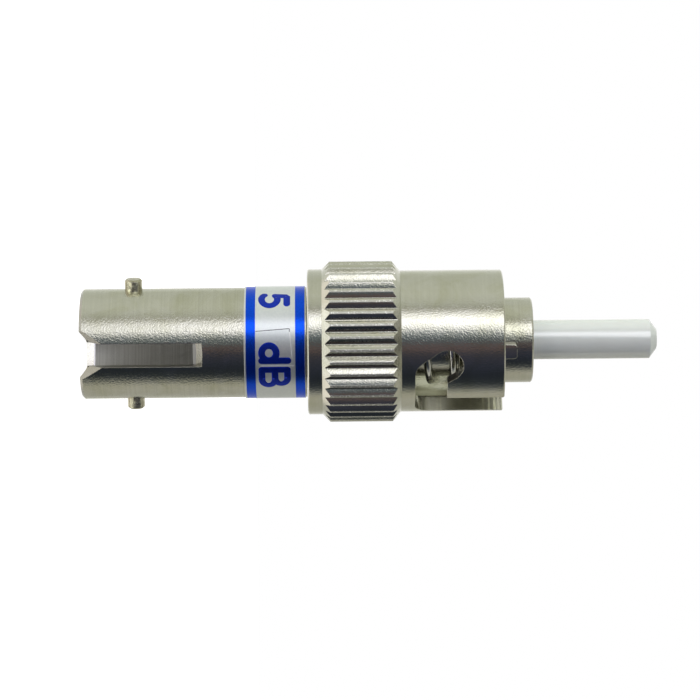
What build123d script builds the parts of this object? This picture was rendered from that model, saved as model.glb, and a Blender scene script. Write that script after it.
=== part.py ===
from build123d import *
import math
import os

os.makedirs("parts", exist_ok=True)

# A plug-in fibre attenuator with a bayonet coupling. All sizes are in millimetres.
# The rim of the receptacle stands on z = 0 and the common axis of all turned pieces is +Z,
# towards the tip of the ferrule. Key and key slot face -Y, the two lugs stand out along X.
# Angles round the axis are in degrees from -Y towards +X.

# Ferrule and the fibre glued into its bore
ferrule_diameter = 2.5
ferrule_protrusion = 7.95
ferrule_bevel_length = 0.45
ferrule_bevel_depth = 0.6
glue_groove_length = 0.6
glue_groove_depth = 0.16
glue_groove_setback = 0.1
fibre_diameter = 0.125

# Ferrule collar, pressed on the ferrule
collar_length = 2.5

# Split alignment sleeve and the tube that holds it
sleeve_wall = 0.35
sleeve_length = 11.4
sleeve_slit = 0.5
sleeve_play = 0.05
sleeve_end_play = 0.2
holder_wall = 0.215
holder_end_play = 0.02

# Key body: tail, spring flange and plug barrel
tail_wall = 0.38
plug_length = 14.29
plug_barrel_diameter = 5.4
plug_barrel_bevel = 0.1
flange_setback = 4.05
flange_thickness = 0.65
tail_end_play = 0.1

# Index key, let into the plug barrel
key_width = 0.93
key_height = 0.65
key_seat_depth = 0.4
key_setback = 1.08
key_corner = 0.2

# Coupling spring
spring_wire = 0.48
spring_play = 0.05
spring_active_turns = 4.75
spring_closed_turns = 0.25
spring_start_angle = 20.0
spring_arcs_per_turn = 4
spring_wire_sides = 8

# Receptacle barrel
receptacle_wall = 0.65
receptacle_depth = 7.1
web_thickness = 1.8
barrel_length = 14.26
rim_bevel = 0.16
mouth_bevel_length = 0.57
mouth_bevel_depth = 0.42
guide_hole_play = 0.2
mating_play = 0.07
mating_gap = 0.25

# Key slot of the receptacle, with its bevelled lead-in
key_slot_width = 1.5
key_slot_overrun = 0.62
key_slot_floor_depth = 0.3
lead_in_width = 3.3
lead_in_depth = 1.42
lead_in_bevel_angle = 50.0

# Lug pins, pressed into the receptacle wall
lug_diameter = 1.1
lug_height = 0.7
lug_from_rim = 3.32
lug_edge = 0.1

# Rating label, wrapped round the barrel
label_thickness = 0.05
label_width = 3.82
label_setback = 0.09
label_seam_width = 0.12
label_seam_angle = 150.0

# Thrust washer
washer_thickness = 0.25
washer_play = 0.1

# Coupling nut
nut_length = 12.35
nut_end_wall = 0.89
nut_collar_length = 0.91
nut_collar_diameter = 9.25
nut_edge = 0.08
skirt_play = 0.1
skirt_wall = 0.9
knurl_diameter = 10.2
knurl_length = 4.98
knurl_rear_bevel = 0.5
knurl_front_bevel = 0.53
knurl_grooves = 40
knurl_depth = 0.3
knurl_phase = 7.0
groove_mouth_width = 0.7
groove_floor_width = 0.06

# Bayonet cam slots of the coupling nut
cam_slots = 2
cam_width = 2.0
cam_channel_setback = 4.61
cam_lock_setback = 3.61
cam_entry_angle = 53.2
cam_ramp_angle = 16.7
cam_lock_angle = 8.2
cam_mouth_rounding = 0.4

# Clearances
running_play = 0.05
seat_play = 0.005
face_play = 0.01

# A cutter reaches this far past the surface that it cuts
overcut = 0.5

# Radii that follow from the sizes above, from the fibre outwards
ferrule_radius = ferrule_diameter / 2
fibre_radius = fibre_diameter / 2
sleeve_radius = ferrule_radius + sleeve_wall
holder_bore_radius = sleeve_radius + sleeve_play
holder_radius = holder_bore_radius + holder_wall
tail_bore_radius = holder_radius + seat_play
tail_radius = tail_bore_radius + tail_wall
spring_inner_radius = tail_radius + spring_play
spring_radius = spring_inner_radius + spring_wire
flange_radius = spring_radius
receptacle_radius = flange_radius + mating_play
barrel_radius = receptacle_radius + receptacle_wall
nut_inner_radius = barrel_radius + skirt_play
skirt_radius = nut_inner_radius + skirt_wall
knurl_radius = knurl_diameter / 2
nut_collar_radius = nut_collar_diameter / 2
plug_barrel_radius = plug_barrel_diameter / 2
key_top_radius = plug_barrel_radius + key_height

# Heights that follow from the sizes above
socket_floor = receptacle_depth + web_thickness
plug_front = barrel_length + plug_length
ferrule_tip = plug_front + ferrule_protrusion
ferrule_rear = receptacle_depth + ferrule_protrusion - mating_gap
sleeve_rear = socket_floor + sleeve_end_play
sleeve_front = sleeve_rear + sleeve_length
collar_rear = sleeve_front + sleeve_end_play
shoulder_height = collar_rear + collar_length
flange_front = plug_front - flange_setback
flange_rear = flange_front - flange_thickness
key_front = plug_front - key_setback
nut_rear = barrel_length + face_play + running_play
nut_front = nut_rear + nut_length
washer_rear = nut_rear + nut_end_wall + face_play
washer_front = washer_rear + washer_thickness
knurl_rear = nut_rear + nut_collar_length
knurl_front = knurl_rear + knurl_length
label_front = barrel_length - label_setback


def turned(points):
    """A solid of revolution about Z from the (radius, height) points of half its section."""
    section = make_face(Plane.XZ * Polyline(*points, close=True))
    return revolve(section, Axis.Z)


def tube(outer_radius, inner_radius, low, high):
    """A plain tube about Z between two heights."""
    corners = [(inner_radius, low), (outer_radius, low), (outer_radius, high), (inner_radius, high)]
    return turned(corners)


def radial_cutter(sketch, from_radius, to_radius):
    """A cutter along -Y between two radii, from a sketch whose x is X and whose y is Z."""
    placed = Plane.XZ.offset(from_radius) * sketch
    return extrude(placed, to_radius - from_radius)


def make_ferrule():
    """The through ferrule: bevelled at both ends, with a glue groove that the plug barrel's bore hides."""
    flat_radius = ferrule_radius - ferrule_bevel_depth
    groove_radius = ferrule_radius - glue_groove_depth
    groove_front = plug_front - glue_groove_setback
    groove_rear = groove_front - glue_groove_length
    return turned([
        (fibre_radius + seat_play, ferrule_rear),
        (flat_radius, ferrule_rear),
        (ferrule_radius, ferrule_rear + ferrule_bevel_length),
        (ferrule_radius, groove_rear),
        (groove_radius, groove_rear),
        (groove_radius, groove_front),
        (ferrule_radius, groove_front),
        (ferrule_radius, ferrule_tip - ferrule_bevel_length),
        (flat_radius, ferrule_tip),
        (fibre_radius + seat_play, ferrule_tip),
    ])


def make_fibre():
    """The doped fibre, polished flush with both ends of the ferrule."""
    fibre = Cylinder(fibre_radius, ferrule_tip - ferrule_rear, align=(Align.CENTER, Align.CENTER, Align.MIN))
    return Pos(0, 0, ferrule_rear) * fibre


def make_ferrule_collar():
    """The metal collar pressed on the ferrule, which seats on the shoulder of the key body."""
    return tube(holder_radius, ferrule_radius + seat_play, collar_rear, shoulder_height)


def make_alignment_sleeve():
    """The split sleeve that lines up both ferrules, half of it behind this ferrule's rear end."""
    sleeve = tube(sleeve_radius, ferrule_radius + seat_play, sleeve_rear, sleeve_front)
    middle = (sleeve_rear + sleeve_front) / 2
    slit = Pos(0, -sleeve_radius, middle) * Box(sleeve_slit, 2 * sleeve_radius, sleeve_length + overcut)
    return sleeve - slit


def make_sleeve_holder():
    """The tube round the alignment sleeve, held between the web and the ferrule collar."""
    return tube(holder_radius, holder_bore_radius, socket_floor + holder_end_play, collar_rear - holder_end_play)


def make_key_body():
    """The body that carries the ferrule: a tail for the receptacle, a spring flange and the plug barrel."""
    body = turned([
        (tail_bore_radius, socket_floor + tail_end_play),
        (tail_radius, socket_floor + tail_end_play),
        (tail_radius, flange_rear),
        (flange_radius, flange_rear),
        (flange_radius, flange_front),
        (plug_barrel_radius, flange_front),
        (plug_barrel_radius, plug_front - plug_barrel_bevel),
        (plug_barrel_radius - plug_barrel_bevel, plug_front),
        (ferrule_radius + seat_play, plug_front),
        (ferrule_radius + seat_play, shoulder_height),
        (tail_bore_radius, shoulder_height),
    ])
    return body - make_key_blank(seat_play)


def make_key_blank(play):
    """The index key's block from its seat to its top, with rounded front corners, grown by a play."""
    width = key_width + 2 * play
    length = key_front - flange_front
    front = key_front + play
    outline = Pos(0, front - length / 2) * Rectangle(width, length)
    front_corners = outline.vertices().group_by(Axis.Y)[-1]
    outline = fillet(front_corners, min(key_corner, width * 0.45))
    return radial_cutter(outline, plug_barrel_radius - key_seat_depth - play, key_top_radius)


def make_index_key():
    """The key on the plug barrel, let into a groove in front of the flange."""
    return make_key_blank(0.0) & tube(key_top_radius, plug_barrel_radius - key_seat_depth, flange_front, key_front)


def spring_point(turn):
    """The centre of the wire after some turns: closed end turns, with even open turns between."""
    low = washer_front + face_play + spring_wire / 2
    high = flange_rear - face_play - spring_wire / 2
    closed_rise = spring_closed_turns * spring_wire
    open_rise = high - low - 2 * closed_rise
    open_share = (turn - spring_closed_turns) / spring_active_turns
    if open_share <= 0:
        height = low + turn * spring_wire
    elif open_share >= 1:
        height = high - (2 * spring_closed_turns + spring_active_turns - turn) * spring_wire
    else:
        height = low + closed_rise + open_rise * open_share
    centre_radius = spring_inner_radius + spring_wire / 2
    angle = math.radians(spring_start_angle + 360 * turn)
    return (centre_radius * math.sin(angle), -centre_radius * math.cos(angle), height)


def make_coupling_spring():
    """The helical spring between the thrust washer and the flange, swept along short arcs of its helix."""
    turns = 2 * spring_closed_turns + spring_active_turns
    count = round(turns * spring_arcs_per_turn)
    arcs = []
    for number in range(count):
        marks = [turns * (number + share) / count for share in (0, 0.5, 1)]
        arcs.append(ThreePointArc(*[spring_point(mark) for mark in marks]))
    path = Wire(arcs)
    start = Plane(origin=path @ 0, z_dir=path % 0)
    return sweep(start * RegularPolygon(spring_wire / 2, spring_wire_sides), path=path)


def make_receptacle_barrel():
    """The female barrel: key-slotted receptacle, web with its guide hole, and the socket for the tail."""
    guide_radius = ferrule_radius + guide_hole_play
    socket_radius = tail_radius + seat_play
    barrel = turned([
        (receptacle_radius + mouth_bevel_depth, 0),
        (barrel_radius - rim_bevel, 0),
        (barrel_radius, rim_bevel),
        (barrel_radius, barrel_length),
        (socket_radius, barrel_length),
        (socket_radius, socket_floor),
        (guide_radius, socket_floor),
        (guide_radius, receptacle_depth),
        (receptacle_radius, receptacle_depth),
        (receptacle_radius, mouth_bevel_length),
    ])
    barrel -= make_key_slot()
    barrel -= make_lug_bores()
    return barrel


def make_key_slot():
    """The slot for the mating key, whose floor slopes out through the wall, with a bevelled V at its mouth."""
    inner = receptacle_radius - key_slot_floor_depth
    outer = barrel_radius + overcut
    slope = key_slot_overrun / (barrel_radius - inner)
    slot_end = receptacle_depth + slope * (outer - inner)
    corners = [(-inner, -overcut), (-outer, -overcut), (-outer, slot_end), (-inner, receptacle_depth)]
    section = make_face(Plane.YZ * Polyline(*corners, close=True))
    slot = extrude(section, key_slot_width / 2, both=True)
    sections = [lead_in_section(height) for height in (-overcut, lead_in_depth)]
    return slot + loft(sections)


def lead_in_section(height):
    """The bevelled V's section at a height: widest at the rim, as wide as the key slot at its end."""
    share = height / lead_in_depth
    half_rim = lead_in_width / 2
    half_slot = key_slot_width / 2
    half_width = half_rim + (half_slot - half_rim) * share
    rim_surface = math.sqrt(barrel_radius ** 2 - half_rim ** 2)
    slot_surface = math.sqrt(barrel_radius ** 2 - half_slot ** 2)
    surface = rim_surface + (slot_surface - rim_surface) * share
    spread = math.tan(math.radians(lead_in_bevel_angle))
    inner = slot_surface - half_slot / spread * 0.95
    outer = barrel_radius + overcut
    half_inner = half_width - spread * (surface - inner)
    half_outer = half_width + spread * (outer - surface)
    corners = [(-half_inner, -inner), (half_inner, -inner), (half_outer, -outer), (-half_outer, -outer)]
    return Pos(0, 0, height) * make_face(Polyline(*corners, close=True))


def lug_places():
    """The two places where a lug stands, with local z pointing outwards along X."""
    return [Plane(origin=(0, 0, lug_from_rim), z_dir=(side, 0, 0)) for side in (-1, 1)]


def make_lug_bores():
    """The two holes in the receptacle wall that the lug pins are pressed into."""
    length = barrel_radius + overcut
    bore = Cylinder(lug_diameter / 2 + seat_play, length, align=(Align.CENTER, Align.CENTER, Align.MIN))
    return [place * bore for place in lug_places()]


def make_lug_pins():
    """The two lugs that the cam slots of a mating nut ride on, each a pin with a softened edge."""
    pins = []
    for place in lug_places():
        start = receptacle_radius + seat_play
        length = barrel_radius + lug_height - start
        pin = Cylinder(lug_diameter / 2, length, align=(Align.CENTER, Align.CENTER, Align.MIN))
        pin = chamfer(pin.edges().group_by(Axis.Z)[-1], lug_edge)
        pins.append(place * Pos(0, 0, start) * pin)
    return pins


def make_rating_label():
    """The foil label round the barrel, whose ends meet at a narrow seam on the far side."""
    low = label_front - label_width
    inner_radius = barrel_radius + seat_play
    label = tube(inner_radius + label_thickness, inner_radius, low, label_front)
    seam_reach = inner_radius + label_thickness + overcut
    seam = Pos(0, -seam_reach / 2, low + label_width / 2) * Box(label_seam_width, seam_reach, label_width + overcut)
    return label - Rot(0, 0, label_seam_angle) * seam


def make_thrust_washer():
    """The washer between the spring and the end wall of the coupling nut."""
    return tube(barrel_radius, tail_radius + washer_play, washer_rear, washer_front)


def make_cam_cutter():
    """One bayonet slot: entry from the front edge, a channel round the skirt and a lock pocket."""
    from_radius = nut_inner_radius - overcut
    to_radius = knurl_radius + overcut
    half_width = cam_width / 2
    channel_height = nut_front - cam_channel_setback
    lock_height = nut_front - cam_lock_setback

    entry_top = nut_front + overcut
    entry_length = entry_top - channel_height
    entry = Pos(0, channel_height + entry_length / 2) * Rectangle(cam_width, entry_length)
    outside = Pos(0, nut_front + overcut / 2) * Rectangle(3 * cam_width, overcut)
    mouth_corners = (entry + outside).vertices().filter_by(
        lambda corner: abs(corner.Y - nut_front) < face_play and 0 < corner.X < cam_width
    )
    entry = fillet(mouth_corners, cam_mouth_rounding)
    entry += Pos(0, channel_height) * Circle(half_width)
    entry_cutter = Rot(0, 0, cam_entry_angle) * radial_cutter(entry, from_radius, to_radius)

    channel = Pos((from_radius + to_radius) / 2, channel_height) * Rectangle(to_radius - from_radius, cam_width)
    start_angle = cam_ramp_angle - 90
    channel_face = Rot(0, 0, start_angle) * (Plane.XZ * channel)
    channel_cutter = revolve(channel_face, Axis.Z, cam_entry_angle - cam_ramp_angle)

    middle_angle = (cam_ramp_angle + cam_lock_angle) / 2
    half_turn = math.radians(cam_ramp_angle - cam_lock_angle) / 2
    across = 2 * skirt_radius * math.sin(half_turn)
    along = lock_height - channel_height
    ramp = SlotCenterToCenter(math.hypot(across, along), cam_width)
    ramp = Pos(0, (channel_height + lock_height) / 2) * Rot(0, 0, math.degrees(math.atan2(-along, across))) * ramp
    ramp_cutter = Rot(0, 0, middle_angle) * radial_cutter(ramp, from_radius, to_radius)
    return entry_cutter + channel_cutter + ramp_cutter


def make_knurl_cutters():
    """The straight grooves of the knurl, each with sloping sides and a narrow floor."""
    half_mouth = groove_mouth_width / 2
    half_floor = groove_floor_width / 2
    side_slope = (half_mouth - half_floor) / knurl_depth
    half_outside = half_mouth + side_slope * overcut
    profile = make_face(Polyline(
        (-half_floor, -(knurl_radius - knurl_depth)),
        (half_floor, -(knurl_radius - knurl_depth)),
        (half_outside, -(knurl_radius + overcut)),
        (-half_outside, -(knurl_radius + overcut)),
        close=True,
    ))
    groove = extrude(Pos(0, 0, knurl_rear - face_play) * profile, knurl_length + 2 * face_play)
    pitch = 360 / knurl_grooves
    return [Rot(0, 0, knurl_phase + pitch * count) * groove for count in range(knurl_grooves)]


def make_coupling_nut():
    """The knurled nut: an end wall that runs on the tail, a knurled grip and a slotted skirt."""
    bore_radius = tail_radius + running_play
    nut = turned([
        (bore_radius, nut_rear),
        (nut_collar_radius - nut_edge, nut_rear),
        (nut_collar_radius, nut_rear + nut_edge),
        (nut_collar_radius, knurl_rear),
        (knurl_radius, knurl_rear + knurl_rear_bevel),
        (knurl_radius, knurl_front - knurl_front_bevel),
        (skirt_radius, knurl_front),
        (skirt_radius, nut_front - nut_edge),
        (skirt_radius - nut_edge, nut_front),
        (nut_inner_radius + nut_edge, nut_front),
        (nut_inner_radius, nut_front - nut_edge),
        (nut_inner_radius, nut_rear + nut_end_wall),
        (bore_radius, nut_rear + nut_end_wall),
    ])
    nut -= make_knurl_cutters()
    cam_cutter = make_cam_cutter()
    for count in range(cam_slots):
        nut -= Rot(0, 0, 360 / cam_slots * count) * cam_cutter
    return nut


def save(name, shape):
    """Writes one piece under its node's name."""
    export_step(shape, f"parts/{name}.step")


save("ferrule", make_ferrule())
save("attenuating_fibre", make_fibre())
save("ferrule_collar", make_ferrule_collar())
save("alignment_sleeve", make_alignment_sleeve())
save("sleeve_holder", make_sleeve_holder())
save("key_body", make_key_body())
save("index_key", make_index_key())
save("coupling_spring", make_coupling_spring())
save("receptacle_barrel", make_receptacle_barrel())
for side_name, pin in zip(("left", "right"), make_lug_pins()):
    save(f"lug_pin_{side_name}", pin)
save("rating_label", make_rating_label())
save("thrust_washer", make_thrust_washer())
save("coupling_nut", make_coupling_nut())
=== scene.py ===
# %% [markdown]
# # A plug-in fibre attenuator, dressed for its portrait
# The part is a short metal plug: a slotted receptacle at the bottom, a foil label, a knurled
# bayonet nut on a spring, and a white ceramic ferrule that points up along +Z.
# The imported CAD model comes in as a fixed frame, in metres. Where a CAD solid already has the
# right shape it stays and only gets a finish. Round wire, foil and print are made here.

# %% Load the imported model
import math

import bpy
import numpy as np
from mathutils import Matrix, Vector


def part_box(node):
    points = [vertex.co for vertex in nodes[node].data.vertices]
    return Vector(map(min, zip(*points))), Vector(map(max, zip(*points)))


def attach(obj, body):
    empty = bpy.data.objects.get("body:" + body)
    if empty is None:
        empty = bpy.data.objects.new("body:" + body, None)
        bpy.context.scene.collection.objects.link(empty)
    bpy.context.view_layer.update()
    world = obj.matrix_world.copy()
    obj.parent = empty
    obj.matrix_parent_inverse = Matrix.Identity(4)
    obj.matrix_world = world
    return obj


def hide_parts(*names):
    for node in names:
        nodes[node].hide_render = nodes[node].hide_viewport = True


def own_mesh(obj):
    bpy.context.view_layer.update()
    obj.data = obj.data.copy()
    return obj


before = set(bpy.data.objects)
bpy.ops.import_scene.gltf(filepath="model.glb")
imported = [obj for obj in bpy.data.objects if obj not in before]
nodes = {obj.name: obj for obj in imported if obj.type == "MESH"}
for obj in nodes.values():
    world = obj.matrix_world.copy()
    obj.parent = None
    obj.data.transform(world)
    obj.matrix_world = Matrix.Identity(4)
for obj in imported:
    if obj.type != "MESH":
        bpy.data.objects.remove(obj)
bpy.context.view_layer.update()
MM = 0.001

# %% [markdown]
# ## Measures
# Every new piece is placed from the boxes of the CAD nodes, so it sits exactly where the solid is.

# %% Read the sizes that the new pieces need
label_low, label_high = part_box("rating_label")
spring_low, spring_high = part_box("coupling_spring")
_, barrel_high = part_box("receptacle_barrel")
_, ferrule_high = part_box("ferrule")
_, nut_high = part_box("coupling_nut")
barrel_radius = barrel_high.y
label_radius = label_high.y
crest_radius = nut_high.x
print("barrel, label and knurl radius in mm:",
      [round(r / MM, 3) for r in (barrel_radius, label_radius, crest_radius)])

# %% [markdown]
# ## The camera
# A product photographer shot this lying part from the side with a long lens. Here the part stands
# on its rim, so the camera is rolled by a quarter turn: up along +Z in the world is right in the
# picture. The long lens keeps the turned edges almost straight.

# %% Place the camera
picture_width = 700
focal_pixels = 3030.0
camera_distance = 0.193
view_degrees = 13.0
view_azimuth = math.radians(view_degrees)
picture_roll = math.radians(0.556)
foot_height = 0.0159
foot_pixel = (332.6, 341.6)

towards_camera = Vector((-math.sin(view_azimuth), -math.cos(view_azimuth), 0.0))
picture_up = Vector((-math.cos(view_azimuth), math.sin(view_azimuth), 0.0))
axis_up = Vector((0.0, 0.0, 1.0))
right = axis_up * math.cos(picture_roll) - picture_up * math.sin(picture_roll)
up = axis_up * math.sin(picture_roll) + picture_up * math.cos(picture_roll)
across = (picture_width / 2 - foot_pixel[0]) / focal_pixels
below = (foot_pixel[1] - picture_width / 2) / focal_pixels
forward = (right * across + up * below - towards_camera).normalized()
right = (right - forward * right.dot(forward)).normalized()
up = right.cross(forward)

camera_data = bpy.data.cameras.new("portrait_camera")
camera = bpy.data.objects.new("portrait_camera", camera_data)
bpy.context.scene.collection.objects.link(camera)
bpy.context.scene.camera = camera
place = Matrix((right, up, -forward)).transposed().to_4x4()
place.translation = Vector((0, 0, foot_height)) + towards_camera * camera_distance
camera.matrix_world = place
camera_data.sensor_width = 36.0
camera_data.lens = focal_pixels / picture_width * camera_data.sensor_width
camera_data.clip_start = 0.01
camera_data.clip_end = 20.0
bpy.context.scene.view_settings.view_transform = "Standard"
print("lens", round(camera_data.lens, 1), "mm, at", [round(x, 4) for x in camera.location])

# %% [markdown]
# ## Light for polished metal
# Polished nickel has almost no colour of its own: what it shows is the room. Product
# photographers therefore put it in a tent of white cloth with one strip of brighter light and one
# dark card. The tent here is a drum round the part. Its glow depends on the direction, and for the
# strip light a little on the height too, and is kept as one value per corner of its mesh. Camera
# rays don't see it, they see the white world behind.

# %% Helpers for node trees
def new_tree(name):
    """A new material with an empty node tree; returns it, its tree and its output node."""
    material = bpy.data.materials.new(name)
    material.use_nodes = True
    material.node_tree.nodes.clear()
    output = material.node_tree.nodes.new("ShaderNodeOutputMaterial")
    return material, material.node_tree, output


def add(tree, kind, values=None, **settings):
    """Adds a node, sets its properties, then the default values of its named sockets."""
    node = tree.nodes.new("ShaderNode" + kind)
    for key, value in settings.items():
        setattr(node, key, value)
    for key, value in (values or {}).items():
        node.inputs[key].default_value = value
    return node


def join(tree, *pairs):
    """Links output sockets to input sockets, given as (output, input) pairs."""
    for source, target in pairs:
        tree.links.new(source, target)


def shades(tree, grey, stops):
    """The colour of a ramp through (position, grey or colour) stops, read at a grey socket."""
    node = add(tree, "ValToRGB")
    elements = node.color_ramp.elements
    while len(elements) < len(stops):
        elements.new(0.5)
    for element, (position, shade) in zip(elements, stops):
        colour = (shade, shade, shade) if isinstance(shade, (int, float)) else shade
        element.position = position
        element.color = (*colour, 1.0)
    join(tree, (grey, node.inputs[0]))
    return node.outputs["Color"]


def rescale(tree, value, given, result=(0.0, 1.0)):
    """A socket's value, carried from the range given onto the range result and held at its ends."""
    node = add(tree, "MapRange", {
        "From Min": given[0], "From Max": given[1], "To Min": result[0], "To Max": result[1],
    })
    join(tree, (value, node.inputs["Value"]))
    return node.outputs["Result"]


def product(tree, first, second):
    """Two sockets multiplied."""
    node = add(tree, "Math", operation="MULTIPLY")
    join(tree, (first, node.inputs[0]), (second, node.inputs[1]))
    return node.outputs[0]


# A Mix node has its own pair of inputs and its own output for each kind of value
mix_sockets = {"FLOAT": (2, 3, 0), "VECTOR": (4, 5, 1), "RGBA": (6, 7, 2)}


def mixed(tree, share, first, second, kind="RGBA", blend="MIX"):
    """First and second mixed by a share; each of the three is a socket or a plain value."""
    node = add(tree, "Mix", data_type=kind, blend_type=blend)
    first_index, second_index, result_index = mix_sockets[kind]
    for index, value in ((0, share), (first_index, first), (second_index, second)):
        if isinstance(value, bpy.types.NodeSocket):
            join(tree, (value, node.inputs[index]))
        else:
            node.inputs[index].default_value = (*value, 1.0) if isinstance(value, tuple) else value
    return node.outputs[result_index]


def on_piece(tree, seed=0.0):
    """Where a point lies on its piece: the node of Object coordinates, and those in mm plus a
    seed."""
    where = add(tree, "TexCoord")
    in_mm = add(tree, "Mapping", {"Scale": (1000, 1000, 1000), "Location": (seed, seed, seed)})
    join(tree, (where.outputs["Object"], in_mm.inputs["Vector"]))
    return where, in_mm.outputs[0]


def noise(tree, place, **values):
    """The grey of a noise read at a place. The values are those of its sockets, by name."""
    node = add(tree, "TexNoise", {key.capitalize(): value for key, value in values.items()})
    join(tree, (place, node.inputs["Vector"]))
    return node.outputs["Fac"]


# %% The glow of the tent by direction
# Degrees round the part, measured from the camera towards the picture's upper side, then the glow.
tent_radius = 0.45
tent_half_height = 0.9
tent_level = 1.22
tent_glow = np.array([
    (-180, 0.95, 0.95, 0.94),
    (-160, 0.52, 0.52, 0.47),
    (-140, 0.43, 0.43, 0.38),
    (-110, 0.46, 0.455, 0.40),
    (-97, 0.47, 0.46, 0.40),
    (-91, 0.36, 0.36, 0.33),
    (-84, 0.11, 0.12, 0.125),
    (-76, 0.035, 0.042, 0.050),
    (-60, 0.021, 0.026, 0.037),
    (-40, 0.035, 0.040, 0.062),
    (-28, 0.050, 0.050, 0.074),
    (-20, 0.062, 0.060, 0.076),
    (-15, 0.105, 0.083, 0.088),
    (-11, 0.155, 0.105, 0.108),
    (-7, 0.125, 0.105, 0.112),
    (-3, 0.092, 0.104, 0.122),
    (4, 0.11, 0.13, 0.15),
    (9, 0.19, 0.225, 0.26),
    (13, 0.31, 0.345, 0.38),
    (17, 0.66, 0.68, 0.72),
    (20, 1.10, 1.11, 1.16),
    (24, 1.75, 1.75, 1.84),
    (32, 2.25, 2.25, 2.36),
    (40, 1.65, 1.65, 1.74),
    (46, 0.95, 0.95, 0.94),
    (51, 0.66, 0.66, 0.62),
    (53.2, 0.28, 0.28, 0.25),
    (54.6, 0.28, 0.28, 0.25),
    (57, 0.56, 0.58, 0.52),
    (62, 0.59, 0.61, 0.55),
    (80, 0.665, 0.69, 0.61),
    (105, 0.615, 0.64, 0.56),
    (130, 0.585, 0.61, 0.54),
    (150, 0.645, 0.67, 0.60),
    (165, 0.85, 0.85, 0.82),
    (180, 0.95, 0.95, 0.94),
])


def follow(values, marks):
    """Reads values off the straight lines through marks, which are (value, result) pairs."""
    given, result = zip(*marks)
    return np.interp(values, given, result)


# Level with the ferrule the strip light reaches lower: there the table is read some degrees higher.
# First the degrees by height in metres, then the share of them by angle
degrees_up = [(0.064, 0.0), (0.080, 10.0), (0.12, 10.0), (0.2, 0.0)]
share_moved = [(-8.0, 0.0), (2.0, 1.0), (16.0, 1.0), (28.0, 0.0)]
# Level with the receptacle the strip light is weaker: its strength by height, its reach by angle
strip_strength = [(-0.034, 0.50), (-0.019, 0.54), (-0.003, 0.72), (0.006, 0.92), (0.014, 1.0)]
strip_reach = [(6.0, 0.0), (14.0, 1.0), (42.0, 1.0), (52.0, 0.0)]
# Low on the wall a pale shoulder takes over, by the slope down to it, so the undersides get light
shoulder_share = [(0.55, 0.0), (0.80, 1.0)]
shoulder_glow = np.array((1.30, 1.24, 1.16))


def glow_at(points):
    """The tent's glow at points: the table, read at the angle between each point's direction and
    the camera's, with the strip light moved and weakened by height and a pale shoulder below."""
    camera_side = points @ np.array(towards_camera)
    upper_side = points @ np.array(picture_up)
    height = points[:, 2]
    angle = np.degrees(np.arctan2(upper_side, camera_side))
    angle += follow(height, degrees_up) * follow(angle, share_moved)
    colours = [np.interp(angle, tent_glow[:, 0], tent_glow[:, k]) for k in (1, 2, 3)]
    glow = tent_level * np.stack(colours, axis=1)
    glow *= (1 - follow(angle, strip_reach) * (1 - follow(height, strip_strength)))[:, None]
    share = follow(-height / np.linalg.norm(points[:, :2], axis=1), shoulder_share)[:, None]
    return glow * (1 - share) + shoulder_glow * share


def end_glow_at(points, plain, dim, forth, width):
    """The glow of a flat end: plain, with a dim round patch of a width that lies forth towards the
    camera. All lengths are shares of the tent's radius."""
    below_axis = 0.10
    flat = points[:, :2] / tent_radius
    patch = np.array(towards_camera)[:2] * forth - np.array(picture_up)[:2] * below_axis
    away = np.linalg.norm(flat - patch, axis=1)
    share = np.exp(-(away / width) ** 2)[:, None]
    return np.array(plain) * (1 - share) + np.array(dim) * share


# %% The tent's mesh
def grid_faces(rows, columns):
    """Quads of a grid of points, whose columns close on themselves."""
    i, j = np.meshgrid(np.arange(rows - 1), np.arange(columns), indexing="ij")
    i2, j2 = i + 1, (j + 1) % columns
    corners = [i * columns + j, i * columns + j2, i2 * columns + j2, i2 * columns + j]
    return np.stack(corners, axis=-1).reshape(-1, 4)


def tube_faces(rows, sides, turned=False):
    """A grid's quads with a flat face at each end. Turned says that the grid runs the other way
    round, so every face is turned to look outwards."""
    last = (rows - 1) * sides
    faces = grid_faces(rows, sides).tolist()
    faces += [list(range(sides))[::-1], [last + k for k in range(sides)]]
    return [face[::-1] for face in faces] if turned else faces


def mesh_object(name, points, faces, smooth=True):
    """Puts an array of points (n, 3) and a list of faces into a new object at the origin."""
    mesh = bpy.data.meshes.new(name)
    mesh.from_pydata(points.tolist(), [], faces)
    mesh.polygons.foreach_set("use_smooth", np.full(len(mesh.polygons), smooth))
    mesh.update()
    made = bpy.data.objects.new(name, mesh)
    bpy.context.scene.collection.objects.link(made)
    return made


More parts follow.
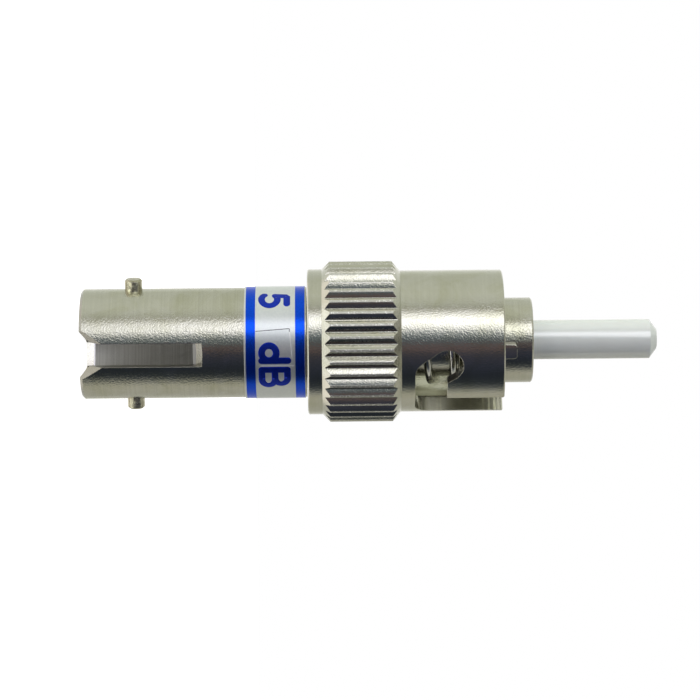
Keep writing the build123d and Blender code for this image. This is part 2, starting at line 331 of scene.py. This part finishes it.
def make_tent():
    """A drum round the Z axis: the wall at (angle, height) is (R cos angle, R sin angle, height).
    Each flat end is the disc (s R cos angle, s R sin angle, height) with s from 0 to 1."""
    angle = np.linspace(0, 2 * math.pi, 240, endpoint=False)
    count = len(angle)
    around = np.stack([np.cos(angle), np.sin(angle)], axis=1) * tent_radius
    heights = np.concatenate([
        np.linspace(-tent_half_height, 0.03, 25),
        np.linspace(0.036, 0.078, 8),
        np.linspace(0.085, 0.2, 8),
        np.linspace(0.24, tent_half_height, 12),
    ])
    wall = np.concatenate([np.column_stack([around, np.full(count, z)]) for z in heights])
    share = np.linspace(1.0, 0.0, 25)[:-1]
    disc = (share[:, None, None] * around[None]).reshape(-1, 2)
    flat = np.concatenate([disc, [[0.0, 0.0]]])
    points, glow, faces = [wall], [glow_at(wall)], grid_faces(len(heights), count).tolist()
    used = len(wall)
    # Height, glow, glow of the dim patch, then the patch's place towards the camera and its width
    ends = (
        (-tent_half_height, (1.95, 1.95, 1.92), (0.50, 0.50, 0.46), -0.60, 0.75),
        (tent_half_height, (0.60, 0.60, 0.55), (0.17, 0.17, 0.155), 0.30, 0.42),
    )
    for height, plain, dim, forth, width in ends:
        points.append(np.column_stack([flat, np.full(len(flat), height)]))
        glow.append(end_glow_at(points[-1], plain, dim, forth, width))
        faces += (grid_faces(len(share), count) + used).tolist()
        inner = used + (len(share) - 1) * count
        faces += [[inner + k, inner + (k + 1) % count, used + len(disc)] for k in range(count)]
        used += len(flat)
    points, glow = np.concatenate(points), np.concatenate(glow)
    tent = mesh_object("light_tent", points, faces, smooth=False)
    colour = tent.data.attributes.new("glow", "FLOAT_COLOR", "POINT")
    colour.data.foreach_set("color", np.column_stack([glow, np.ones(len(glow))]).ravel())
    material, tree, output = new_tree("tent_cloth")
    read = add(tree, "Attribute", attribute_name="glow")
    emission = add(tree, "Emission", {"Strength": 1.0})
    join(
        tree,
        (read.outputs["Color"], emission.inputs["Color"]),
        (emission.outputs[0], output.inputs["Surface"]),
    )
    tent.data.materials.append(material)
    tent.visible_camera = False
    return tent


tent = make_tent()
print("tent corners:", len(tent.data.vertices))

# %% [markdown]
# ## World and floor
# The world is plain white for the camera and for mirror and glass rays, and a calm grey as a light.
# The floor is matt and pale. It adds the missing share of white for camera rays only, so it joins
# the white background but keeps the part's soft shadow. From below it is clear, so the part can be
# seen from there too.

# %% Make the world and the floor
def make_world():
    """A white world for camera, glossy and transmission rays, and a grey one as a light."""
    world = bpy.data.worlds.new("studio_world")
    bpy.context.scene.world = world
    world.use_nodes = True
    tree = world.node_tree
    tree.nodes.clear()
    output = tree.nodes.new("ShaderNodeOutputWorld")
    path = add(tree, "LightPath")
    seen = add(tree, "Math", operation="MAXIMUM")
    seen_too = add(tree, "Math", operation="MAXIMUM")
    light = add(tree, "Background", {"Color": (0.5, 0.5, 0.5, 1.0), "Strength": 1.0})
    white = add(tree, "Background", {"Color": (1.0, 1.0, 1.0, 1.0), "Strength": 1.0})
    mix = add(tree, "MixShader")
    join(
        tree,
        (path.outputs["Is Camera Ray"], seen.inputs[0]),
        (path.outputs["Is Glossy Ray"], seen.inputs[1]),
        (seen.outputs[0], seen_too.inputs[0]),
        (path.outputs["Is Transmission Ray"], seen_too.inputs[1]),
        (seen_too.outputs[0], mix.inputs[0]),
        (light.outputs[0], mix.inputs[1]),
        (white.outputs[0], mix.inputs[2]),
        (mix.outputs[0], output.inputs["Surface"]),
    )


floor_radius = 0.43


def make_floor():
    """A round floor at z = 0: its rim at an angle is R * (cos angle, sin angle, 0)."""
    angle = np.linspace(0, 2 * math.pi, 96, endpoint=False)
    rim = np.stack([np.cos(angle), np.sin(angle), np.zeros_like(angle)], axis=1) * floor_radius
    floor = mesh_object("pale_floor", rim, [list(range(len(angle)))], smooth=False)
    material, tree, output = new_tree("floor_paper")
    path = add(tree, "LightPath")
    matt = add(tree, "BsdfDiffuse", {"Color": (0.82, 0.82, 0.81, 1.0)})
    lift = add(tree, "Emission", {"Color": (1.0, 1.0, 1.0, 1.0)})
    share = add(tree, "Math", {1: 0.93}, operation="MULTIPLY")
    both = add(tree, "AddShader")
    side = add(tree, "NewGeometry")
    clear = add(tree, "BsdfTransparent")
    upper_only = add(tree, "MixShader")
    join(
        tree,
        (path.outputs["Is Camera Ray"], share.inputs[0]),
        (share.outputs[0], lift.inputs["Strength"]),
        (matt.outputs[0], both.inputs[0]),
        (lift.outputs[0], both.inputs[1]),
        (side.outputs["Backfacing"], upper_only.inputs[0]),
        (both.outputs[0], upper_only.inputs[1]),
        (clear.outputs[0], upper_only.inputs[2]),
        (upper_only.outputs[0], output.inputs["Surface"]),
    )
    floor.data.materials.append(material)
    floor.visible_glossy = False
    floor.visible_diffuse = False


make_world()
make_floor()
print("floor radius", floor_radius, "m")

# %% [markdown]
# ## Nickel plate
# Every metal body here is turned brass with a bright nickel plate. Up close it shows three things:
# a fine grain that breaks up the edge of each reflection, faint rings left by the lathe, and pale
# olive stains. All three are noise read on Object coordinates, so they stay on the metal.

# %% Where a face lies and how it turns
def radial_masks(tree, where, inner_radius):
    """Sockets read from Object coordinates, by name. Masks: inside a radius about Z, walls that
    run along the radius (side_wall), and faces that look down towards -Z (lip). Measures: the
    radius, the outward direction, the height, the normal's Z (upright), and how far the face
    turns outwards (facing)."""
    flat = add(tree, "VectorMath", {1: (1, 1, 0)}, operation="MULTIPLY")
    radius = add(tree, "VectorMath", operation="LENGTH")
    outward = add(tree, "VectorMath", operation="NORMALIZE")
    facing = add(tree, "VectorMath", operation="DOT_PRODUCT")
    place = add(tree, "SeparateXYZ")
    normal = add(tree, "SeparateXYZ")
    both = add(tree, "Math", operation="MULTIPLY_ADD")
    join(
        tree,
        (where.outputs["Object"], flat.inputs[0]),
        (where.outputs["Object"], place.inputs[0]),
        (where.outputs["Normal"], normal.inputs[0]),
        (where.outputs["Normal"], facing.inputs[1]),
        (flat.outputs[0], radius.inputs[0]),
        (flat.outputs[0], outward.inputs[0]),
        (outward.outputs[0], facing.inputs[0]),
        (normal.outputs["Z"], both.inputs[0]),
        (normal.outputs["Z"], both.inputs[1]),
    )
    squared = product(tree, facing.outputs["Value"], facing.outputs["Value"])
    join(tree, (squared, both.inputs[2]))
    bore = (inner_radius - 0.05 * MM, inner_radius)
    return {
        "inside": rescale(tree, radius.outputs["Value"], bore, (1.0, 0.0)),
        "side_wall": rescale(tree, both.outputs[0], (0.25, 0.45), (1.0, 0.0)),
        "lip": rescale(tree, normal.outputs["Z"], (-0.5, -0.25), (1.0, 0.0)),
        "radius": radius.outputs["Value"],
        "outward": outward.outputs[0],
        "height": place.outputs["Z"],
        "upright": normal.outputs["Z"],
        "facing": facing.outputs["Value"],
    }


# %% Wear on milled walls, and the shape of a knurl
def streaked_walls(tree, where, mask, grain, lighter_above, seed):
    """Dull walls with streaks, a noise of the scale grain, lighter with bright streaks above a
    height and darker below it.
    """
    streaks = add(tree, "Mapping", {"Scale": grain, "Location": (seed, seed, 0)})
    join(tree, (where.outputs["Object"], streaks.inputs["Vector"]))
    streak = noise(tree, streaks.outputs[0], scale=1.0, detail=2.0, roughness=0.5)
    half_step = 0.4 * MM
    step = (lighter_above - half_step, lighter_above + half_step)
    # The streaks are shifted darker below the height and lighter above it
    level = add(tree, "Math", operation="ADD")
    join(
        tree,
        (streak, level.inputs[0]),
        (rescale(tree, mask["height"], step, (-0.18, 0.06)), level.inputs[1]),
    )
    return shades(tree, level.outputs[0], [
        (0.40, (0.42, 0.415, 0.32)),
        (0.56, (0.50, 0.495, 0.37)),
        (0.66, (0.95, 0.95, 0.70)),
    ])


def rounded_crests(tree, mask, knurl_radius, normal):
    """The normal of a knurl with slightly rounded crests: the walls of its valleys turn outwards,
    more and more towards the crest. The floor, the bevels and the flat faces keep their normal."""
    floor = knurl_radius - 0.31 * MM
    most = 0.26
    turned = rescale(tree, mask["radius"], (floor, knurl_radius), (0.0, most))
    above_floor = rescale(tree, mask["radius"], (floor - 0.02 * MM, floor))
    lean = add(tree, "Math", operation="ABSOLUTE")
    straight_out = add(
        tree, "VectorTransform", vector_type="NORMAL", convert_from="OBJECT", convert_to="WORLD")
    join(
        tree,
        (mask["upright"], lean.inputs[0]),
        (mask["outward"], straight_out.inputs[0]),
    )
    level = rescale(tree, lean.outputs[0], (0.15, 0.35), (1.0, 0.0))
    share = product(tree, product(tree, turned, above_floor), level)
    return mixed(tree, share, normal, straight_out.outputs[0], kind="VECTOR")


# %% A recipe for plated metal
def plated(
    name, tint, stain, grain=1.0, rings=1.0, roughness=0.07, grain_size=7.0, seed=0.0,
    soft_edge=0.05 * MM, inner_radius=0.0, knurl_radius=None, wall_grain=None, lighter_above=0.0,
):
    """Nickel plate: tint with stains of a second colour, lathe rings along Z and a fine grain as
    bump. Walls cut by a mill are dull. Inside inner_radius the plate is thin and dull, and such a
    piece gets a painted highlight on the inward bevel at its mouth and painted shade on the other
    faces that look down beside it. The crests of a knurl, near knurl_radius, are matt with bright
    specks, as the knurling wheel leaves them. With wall_grain, the scale of a noise, milled walls
    are streaked, lighter above the height given and darker below it."""
    material, tree, output = new_tree(name)
    where, in_mm = on_piece(tree, seed)
    ringed = add(tree, "Mapping", {"Scale": (90, 90, 9000), "Location": (seed, 0, seed)})
    join(tree, (where.outputs["Object"], ringed.inputs["Vector"]))
    clouds = noise(tree, in_mm, scale=0.42, detail=4.0, roughness=0.62, distortion=0.6)
    speck = noise(tree, in_mm, scale=grain_size, detail=2.0, roughness=0.55)
    ring = noise(tree, ringed.outputs[0], scale=1.0, detail=3.0, roughness=0.6)
    mask = radial_masks(tree, where, inner_radius)

    ring_shade = rescale(tree, ring, (0.3, 0.7), (1.0 - 0.06 * rings, 1.0 + 0.04 * rings))
    bore_shade = shades(tree, ring, [(0.30, (0.50, 0.50, 0.48)), (0.70, (0.66, 0.66, 0.64))])
    shade = mixed(tree, shades(tree, clouds, [(0.38, 0.0), (0.72, 1.0)]), tint, stain)
    shade = mixed(tree, 1.0, shade, ring_shade, blend="MULTIPLY")
    shade = mixed(tree, mask["inside"], shade, bore_shade)
    if inner_radius:
        # Painted highlight on the inward bevel of the mouth (colour above 1, bluer to read white),
        # painted shade on the other down-facing faces beside it
        turned_out = rescale(tree, mask["facing"], (-0.6, -0.3))
        mouth_highlight_and_shade = mixed(tree, turned_out, (1.18, 1.18, 1.36), (0.60, 0.60, 0.62))
        shade = mixed(tree, mask["lip"], shade, mouth_highlight_and_shade, blend="MULTIPLY")
    wall_shade = (0.40, 0.39, 0.35)
    if wall_grain:
        wall_shade = streaked_walls(tree, where, mask, wall_grain, lighter_above, seed)
    shade = mixed(tree, mask["side_wall"], shade, wall_shade)

    dull = add(tree, "Math", operation="MAXIMUM")
    join(tree, (mask["inside"], dull.inputs[0]), (mask["side_wall"], dull.inputs[1]))
    dull_roughness, crest_roughness, bore_metallic = 0.42, 0.55, 0.55
    rough = rescale(tree, speck, (0.25, 0.75), (roughness * 0.7, roughness * 1.5))
    rough = mixed(tree, dull.outputs[0], rough, dull_roughness, kind="FLOAT")
    metallic = rescale(tree, mask["inside"], (0.0, 1.0), (1.0, bore_metallic))
    edge = add(tree, "Bevel", {"Radius": soft_edge}, samples=6)
    normal = edge.outputs[0]
    if knurl_radius:
        top = (knurl_radius - 0.05 * MM, knurl_radius - 0.01 * MM)
        crest = rescale(tree, mask["radius"], top)
        crest_shade = shades(tree, speck, [(0.54, (0.60, 0.595, 0.54)), (0.66, (1.0, 1.0, 0.94))])
        shade = mixed(tree, crest, shade, crest_shade)
        rough = mixed(tree, crest, rough, crest_roughness, kind="FLOAT")
        normal = rounded_crests(tree, mask, knurl_radius, normal)

    ring_bump = add(tree, "Bump", {"Strength": 0.35 * rings, "Distance": 0.004 * MM})
    grain_bump = add(tree, "Bump", {"Strength": 0.6 * grain, "Distance": 0.03 * MM})
    metal = add(tree, "BsdfPrincipled")
    join(
        tree,
        (normal, ring_bump.inputs["Normal"]),
        (ring, ring_bump.inputs["Height"]),
        (ring_bump.outputs[0], grain_bump.inputs["Normal"]),
        (speck, grain_bump.inputs["Height"]),
        (shade, metal.inputs["Base Color"]),
        (rough, metal.inputs["Roughness"]),
        (metallic, metal.inputs["Metallic"]),
        (grain_bump.outputs[0], metal.inputs["Normal"]),
        (metal.outputs[0], output.inputs["Surface"]),
    )
    return material


# %% The plated pieces
def dress(material, *names):
    """Gives CAD nodes a material in place of the plain one that they came with."""
    for name in names:
        nodes[name].data.materials.clear()
        nodes[name].data.materials.append(material)


nickel = ((0.542, 0.534, 0.470), (0.465, 0.460, 0.355))
dress(plated(
    "barrel_plate", *nickel, grain=0.88, rings=0.8, roughness=0.145, grain_size=8.5,
    inner_radius=2.93 * MM,
), "receptacle_barrel")
dress(plated(
    "nut_plate", *nickel, grain=0.62, rings=0.5, roughness=0.07, grain_size=10.0, seed=3.1,
    knurl_radius=crest_radius, wall_grain=(200, 200, 4200), lighter_above=nut_high.z - 1.3 * MM,
), "coupling_nut")
dress(plated(
    "plug_plate", *nickel, grain=1.0, rings=0.8, roughness=0.15, grain_size=9.0, seed=5.7,
), "key_body")
dress(plated(
    "key_plate", *nickel, grain=0.3, rings=0.0, roughness=0.10, seed=7.3, soft_edge=0.09 * MM,
), "index_key")
dress(plated(
    "pin_plate", (0.46, 0.45, 0.37), (0.34, 0.31, 0.20), grain=3.0, rings=0.0, roughness=0.13,
    grain_size=3.0, seed=9.9, wall_grain=(4500, 4500, 4500), lighter_above=-MM,
), "lug_pin_left", "lug_pin_right")
for name, node, tint, stain, seed in (
    ("washer_plate", "thrust_washer", (0.50, 0.50, 0.48), (0.43, 0.43, 0.41), 12.0),
    ("holder_plate", "sleeve_holder", (0.54, 0.53, 0.48), (0.48, 0.45, 0.38), 14.0),
    ("collar_plate", "ferrule_collar", (0.50, 0.50, 0.50), (0.43, 0.43, 0.43), 16.0),
):
    dress(plated(name, tint, stain, seed=seed), node)
print("plated materials:", len([m for m in bpy.data.materials if m.name.endswith("_plate")]))

# %% [markdown]
# ## White ceramic
# Zirconia is a dense white ceramic with a very high index of refraction, so it shines more than
# porcelain does. Light also spreads a little inside it, which a small subsurface share stands for.

# %% Ceramic for the ferrule and the sleeve
def ceramic(name, tint, roughness):
    """Polished zirconia: a white body that lets light in a little, under a clear strong gloss.
    The bevel and the end, whose normals turn towards +Z, get a little painted shade."""
    material, tree, output = new_tree(name)
    where, in_mm = on_piece(tree)
    clouds = noise(tree, in_mm, scale=1.1, detail=3.0, roughness=0.5)
    fine = noise(tree, in_mm, scale=26.0, detail=2.0)
    cloudy_tint = tuple(x * 0.975 for x in tint)
    normal = add(tree, "SeparateXYZ")
    bump = add(tree, "Bump", {"Strength": 0.12, "Distance": 0.003 * MM})
    body = add(tree, "BsdfPrincipled", {
        "Roughness": roughness,
        "IOR": 2.15,
        "Subsurface Weight": 0.1,
        "Subsurface Scale": 0.1 * MM,
        "Subsurface Radius": (1.0, 0.9, 0.8),
    })
    join(tree, (where.outputs["Normal"], normal.inputs[0]), (fine, bump.inputs["Height"]))
    shade = shades(tree, clouds, [(0.35, cloudy_tint), (0.65, tint)])
    # Painted shade: the colour is darkened where the normal turns towards +Z
    painted_end_shade = rescale(tree, normal.outputs["Z"], (0.2, 0.6))
    shade = mixed(tree, painted_end_shade, shade, (0.86, 0.87, 0.86), blend="MULTIPLY")
    join(
        tree,
        (shade, body.inputs["Base Color"]),
        (bump.outputs[0], body.inputs["Normal"]),
        (body.outputs[0], output.inputs["Surface"]),
    )
    return material


dress(ceramic("ferrule_ceramic", (0.94, 0.985, 0.95), 0.06), "ferrule")
dress(ceramic("sleeve_ceramic", (0.84, 0.85, 0.83), 0.35), "alignment_sleeve")
print("ferrule reaches", round(ferrule_high.z / MM, 2), "mm")


# %% Glass for the end of the fibre
def cloudy(name, scale, detail, stops, values):
    """A smooth body, set by values, whose colour drifts between two stops with a noise in mm."""
    material, tree, output = new_tree(name)
    _, in_mm = on_piece(tree)
    body = add(tree, "BsdfPrincipled", values)
    shade = shades(tree, noise(tree, in_mm, scale=scale, detail=detail), stops)
    join(
        tree,
        (shade, body.inputs["Base Color"]),
        (body.outputs[0], output.inputs["Surface"]),
    )
    return material


fibre_glass = cloudy(
    "fibre_core", 30.0, 2.0, [(0.3, (0.45, 0.50, 0.55)), (0.7, (0.62, 0.67, 0.70))],
    {"Roughness": 0.05, "IOR": 1.46, "Transmission Weight": 0.3},
)
dress(fibre_glass, "attenuating_fibre")
print("fibre dressed with", fibre_glass.name)

# %% [markdown]
# ## The coupling spring
# The CAD spring has an eight-sided wire, to keep its faces few. The real wire is round and shows
# through the cam slot, so it is made again: a circle carried along the same helix, closed at both
# ends. It stays between the same heights.

# %% Carry a circle along a helix
def tube_along(path, radius, sides, end_steps=4):
    """A round tube along a path of points: path + r (cos v N + sin v B), where N and B stand across
    the path. Both ends are rounded: there r follows a quarter circle down to a small flat tip."""
    tip = 0.02
    step = np.gradient(path, axis=0)
    tangent = step / np.linalg.norm(step, axis=1, keepdims=True)
    outward = path * np.array([1.0, 1.0, 0.0])
    outward -= tangent * (outward * tangent).sum(1, keepdims=True)
    normal = outward / np.linalg.norm(outward, axis=1, keepdims=True)
    binormal = np.cross(tangent, normal)
    quarter = np.linspace(0, math.pi / 2, end_steps + 1)[:-1]
    reach, lift = np.sin(quarter), 1 - np.cos(quarter)
    reach[0] = tip
    start = path[0] + tangent[0] * (lift * radius * 0.5)[:, None]
    end = path[-1] - tangent[-1] * (lift[::-1] * radius * 0.5)[:, None]
    centre = np.concatenate([start, path[1:-1], end])
    width = np.concatenate([reach, np.ones(len(path) - 2), reach[::-1]]) * radius
    n, b = (
        np.concatenate([np.repeat(x[:1], end_steps, 0), x[1:-1], np.repeat(x[-1:], end_steps, 0)])
        for x in (normal, binormal)
    )
    v = np.linspace(0, 2 * math.pi, sides, endpoint=False)
    ring = np.cos(v)[None, :, None] * n[:, None, :] + np.sin(v)[None, :, None] * b[:, None, :]
    points = (centre[:, None, :] + ring * width[:, None, None]).reshape(-1, 3)
    return points, tube_faces(len(centre), sides, turned=True)


def make_spring():
    """The coupling spring's centreline: radius R, angle 2 pi t, and a height that rises by one
    wire a turn at both closed ends and evenly between them."""
    wire = 0.48 * MM
    closed_turns, active_turns = 0.25, 4.75
    first_angle = math.radians(20.0)
    steps_a_turn, sides = 96, 20
    slimmer = 0.99
    radius = spring_high.x - wire / 2
    low, high = spring_low.z + wire / 2, spring_high.z - wire / 2
    total = 2 * closed_turns + active_turns
    turn = np.linspace(0, total, int(total * steps_a_turn))
    height = follow(turn, [
        (0, low),
        (closed_turns, low + closed_turns * wire),
        (closed_turns + active_turns, high - closed_turns * wire),
        (total, high),
    ])
    angle = first_angle + 2 * math.pi * turn
    path = np.stack([radius * np.sin(angle), -radius * np.cos(angle), height], axis=1)
    points, faces = tube_along(path, wire / 2 * slimmer, sides)
    spring = mesh_object("spring_wire", points, faces)
    spring.data.materials.append(plated(
        "wire_plate", (0.66, 0.66, 0.63), (0.58, 0.58, 0.56), grain=0.4, rings=0.0,
        roughness=0.10, seed=21.0, soft_edge=0.0,
    ))
    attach(spring, "housing")
    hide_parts("coupling_spring")
    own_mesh(spring)
    return spring


spring = make_spring()
print("spring wire faces:", len(spring.data.polygons))

# %% [markdown]
# ## The foil label
# A strip of silver foil is wrapped round the barrel. It has a blue band at each edge and the value
# of the attenuator in blue figures. The foil is one thin closed surface with soft edges. The print
# is raised by a few thousandths of a millimetre, as ink is.

# %% Wrap the foil
def make_foil():
    """A thin band round Z with a gap for its seam: a flat loop (radius, height) carried round an
    arc of angle. The loop's outer corners are cut twice, which makes the foil's edges soft."""
    glue = 0.005 * MM
    soft, cut = 0.02 * MM, 0.006 * MM
    half_gap = 0.06 * MM / label_radius
    seam = math.radians(150.0)
    inner, outer = barrel_radius + glue, label_radius
    low, high = label_low.z, label_high.z
    r, z = np.array([
        (inner, low), (outer - soft, low), (outer - cut, low + cut), (outer, low + soft),
        (outer, high - soft), (outer - cut, high - cut), (outer - soft, high), (inner, high),
    ]).T
    turn = np.linspace(seam + half_gap, seam + 2 * math.pi - half_gap, 260)
    x = np.sin(turn)[:, None] * r[None, :]
    y = -np.cos(turn)[:, None] * r[None, :]
    points = np.stack([x, y, np.broadcast_to(z, x.shape)], axis=-1).reshape(-1, 3)
    return points, tube_faces(len(turn), len(r), turned=True)


def foil_material():
    """Satin silver foil with a blue band at each edge: a band is where the distance along Z from
    the middle of the print lies between two values."""
    band_start, band_stop, blur = 1.25 * MM, 1.85 * MM, 0.01 * MM
    off_centre = 0.045 * MM
    middle = (label_low.z + label_high.z) / 2 + off_centre
    material, tree, output = new_tree("label_foil")
    where, in_mm = on_piece(tree)
    place = add(tree, "SeparateXYZ")
    from_middle = add(tree, "Math", {1: middle}, operation="SUBTRACT")
    distance = add(tree, "Math", operation="ABSOLUTE")
    join(
        tree,
        (where.outputs["Object"], place.inputs[0]),
        (place.outputs["Z"], from_middle.inputs[0]),
        (from_middle.outputs[0], distance.inputs[0]),
    )
    inside = rescale(tree, distance.outputs[0], (band_start - blur, band_start + blur))
    outside = rescale(tree, distance.outputs[0], (band_stop - blur, band_stop + blur), (1.0, 0.0))
    band = product(tree, inside, outside)
    grain = noise(tree, in_mm, scale=7.0, detail=3.0, roughness=0.7)
    silver = shades(tree, grain, [(0.3, (0.72, 0.76, 0.77)), (0.7, (0.80, 0.83, 0.83))])
    ink = shades(tree, grain, [(0.3, (0.002, 0.070, 0.72)), (0.7, (0.004, 0.088, 0.84))])
    bump = add(tree, "Bump", {"Strength": 0.5, "Distance": 0.012 * MM})
    body = add(tree, "BsdfPrincipled", {"IOR": 1.5})
    join(
        tree,
        (grain, bump.inputs["Height"]),
        (mixed(tree, band, silver, ink), body.inputs["Base Color"]),
        (mixed(tree, band, 0.62, 0.88, kind="FLOAT"), body.inputs["Metallic"]),
        (mixed(tree, band, 0.33, 0.26, kind="FLOAT"), body.inputs["Roughness"]),
        (bump.outputs[0], body.inputs["Normal"]),
        (body.outputs[0], output.inputs["Surface"]),
    )
    return material


foil_points, foil_faces = make_foil()
foil = mesh_object("label_foil", foil_points, foil_faces, smooth=False)
foil.data.materials.append(foil_material())
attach(foil, "housing")
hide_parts("rating_label")
print("foil points:", len(foil_points))


# %% Write the value on it
def stroke_on_foil(path, width, rise):
    """A flat stroke of ink: points across a path, path + w (cos v side + sin v up), wrapped on the
    label. The path holds (x, y) in mm: x runs round the label, y up along Z. Its ends are half
    circles with a small flat tip."""
    cap_steps, tip = 6, 0.01
    step = np.gradient(path, axis=0)
    tangent = step / np.linalg.norm(step, axis=1, keepdims=True)
    quarter = np.linspace(0, math.pi / 2, cap_steps + 1)[:-1]
    start = path[0] - tangent[0] * (np.cos(quarter) * width / 2)[:, None]
    end = path[-1] + tangent[-1] * (np.cos(quarter[::-1]) * width / 2)[:, None]
    centre = np.concatenate([start, path, end])
    cap = np.sin(quarter) + tip
    half = np.concatenate([cap, np.ones(len(path)), cap[::-1]]) * width / 2
    first, last = np.repeat(tangent[:1], cap_steps, 0), np.repeat(tangent[-1:], cap_steps, 0)
    along = np.concatenate([first, tangent, last])
    side = np.stack([along[:, 1], -along[:, 0]], axis=1)
    across = np.array([-1.0, -0.8, -0.4, 0.0, 0.4, 0.8, 1.0, 0.6, -0.6])
    lift = np.array([0.0, 0.8, 1.0, 1.0, 1.0, 0.8, 0.0, -1.0, -1.0]) * rise
    flat = centre[:, None, :] + side[:, None, :] * (half[:, None] * across[None, :])[..., None]
    angle = flat[..., 0] * MM / label_radius
    radius = label_radius + lift[None, :]
    wrapped = [radius * np.sin(angle), -radius * np.cos(angle), flat[..., 1] * MM]
    points = np.stack(wrapped, axis=-1).reshape(-1, 3)
    return points, tube_faces(len(centre), len(across))


def strokes_on_foil(paths, width, rise):
    """Several strokes as one set of points and faces. Each lies a thousandth of a millimetre above
    the one before, so crossings stay clean."""
    all_points, all_faces, used = [], [], 0
    for number, path in enumerate(paths):
        points, faces = stroke_on_foil(path, width, rise + 0.001 * MM * number)
        all_points.append(points)
        all_faces += [[k + used for k in face] for face in faces]
        used += len(points)
    return np.concatenate(all_points), all_faces


def arc(centre, size, start, stop, count=40):
    """Points on an ellipse arc between two angles in degrees."""
    t = np.radians(np.linspace(start, stop, count))
    return np.stack([centre[0] + size[0] * np.cos(t), centre[1] + size[1] * np.sin(t)], axis=1)


def line(start, stop, count=12):
    """Evenly spaced points between two points."""
    return np.linspace(np.array(start, float), np.array(stop, float), count)


# Each sign stands in its own square: x from 0 across the sign, y from 0 at its foot, in mm
five = [
    np.concatenate([
        line((0.98, 1.79), (0.30, 1.79)),
        line((0.30, 1.79), (0.24, 1.06)),
    ]),
    np.concatenate([
        line((0.24, 1.06), (0.44, 1.18), 4),
        arc((0.58, 0.70), (0.52, 0.50), 105, -140),
    ]),
]
small_d = [arc((0.64, 0.66), (0.44, 0.46), 0, 360, 60), line((1.10, 0.20), (1.10, 1.84))]
capital_b = [
    line((0.20, 0.20), (0.20, 1.80)),
    np.concatenate([
        line((0.20, 1.80), (0.78, 1.80), 6),
        arc((0.78, 1.41), (0.46, 0.39), 90, -90),
        line((0.78, 1.02), (0.20, 1.02), 6),
    ]),
    np.concatenate([
        line((0.20, 1.02), (0.86, 1.02), 6),
        arc((0.86, 0.61), (0.50, 0.41), 90, -90),
        line((0.86, 0.20), (0.20, 0.20), 6),
    ]),
]


def foil_place(turn, height):
    """A point on the foil, in mm round it and up it, from degrees seen from the camera and a height
    in mm."""
    return (math.radians(turn - view_degrees) * label_radius / MM, height)


def make_print():
    """All strokes of the value in one mesh. A sign's x runs round the label towards +X, seen with
    +Z up, and each sign stands at its own angle from the camera."""
    foot = 11.25
    stretch = np.array([1.08, 1.0])
    pen, rise = 0.43, 0.005 * MM
    paths = [
        path * stretch + np.array(foil_place(turn, foot))
        for sign, turn in ((five, -59.5), (small_d, 0.0), (capital_b, 25.8))
        for path in sign
    ]
    return strokes_on_foil(paths, pen, rise)


print_points, print_faces = make_print()
value_print = mesh_object("label_value", print_points, print_faces)
value_print.data.materials.append(cloudy(
    "label_ink", 6.0, 3.0, [(0.3, (0.006, 0.030, 0.44)), (0.7, (0.008, 0.040, 0.54))],
    {"Metallic": 0.7, "Roughness": 0.3, "IOR": 1.45},
))
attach(value_print, "housing")
print("print points:", len(print_points))

# %% [markdown]
# The foil's overlap is glued down under the print. Its edge is drawn as a fine line of flat
# colour: painted shade where it turns away from the strip light and a painted highlight where it
# catches some light.

# %% Score the edge of the overlap
# A score's strokes run between two places, given as degrees seen from the camera and height in mm
score_rise = 0.015 * MM
# Both scores are flat colour: the dark one is painted shade, the pale one a painted highlight
scores = (
    ("label_score_dark", 0.05, [((-11.2, 11.1), (-13.6, 13.15)), ((-13.4, 13.2), (-10.6, 13.2))],
     [(0.4, (0.06, 0.06, 0.07)), (0.6, (0.22, 0.22, 0.24))]),
    ("label_score_pale", 0.042, [((-10.2, 13.2), (16.6, 13.36)), ((24.6, 11.4), (24.6, 13.44))],
     [(0.4, (0.80, 0.82, 0.86)), (0.6, (0.97, 0.98, 1.0))]),
)
for name, width, strokes, stops in scores:
    paths = [line(foil_place(*start), foil_place(*stop)) for start, stop in strokes]
    points, faces = strokes_on_foil(paths, width, score_rise)
    score = mesh_object(name, points, faces)
    painted_edge_light = cloudy(name + "_foil", 3.0, 2.0, stops, {"Metallic": 0.1, "Roughness": 0.4})
    score.data.materials.append(painted_edge_light)
    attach(score, "housing")
    print(name, "points:", len(points))
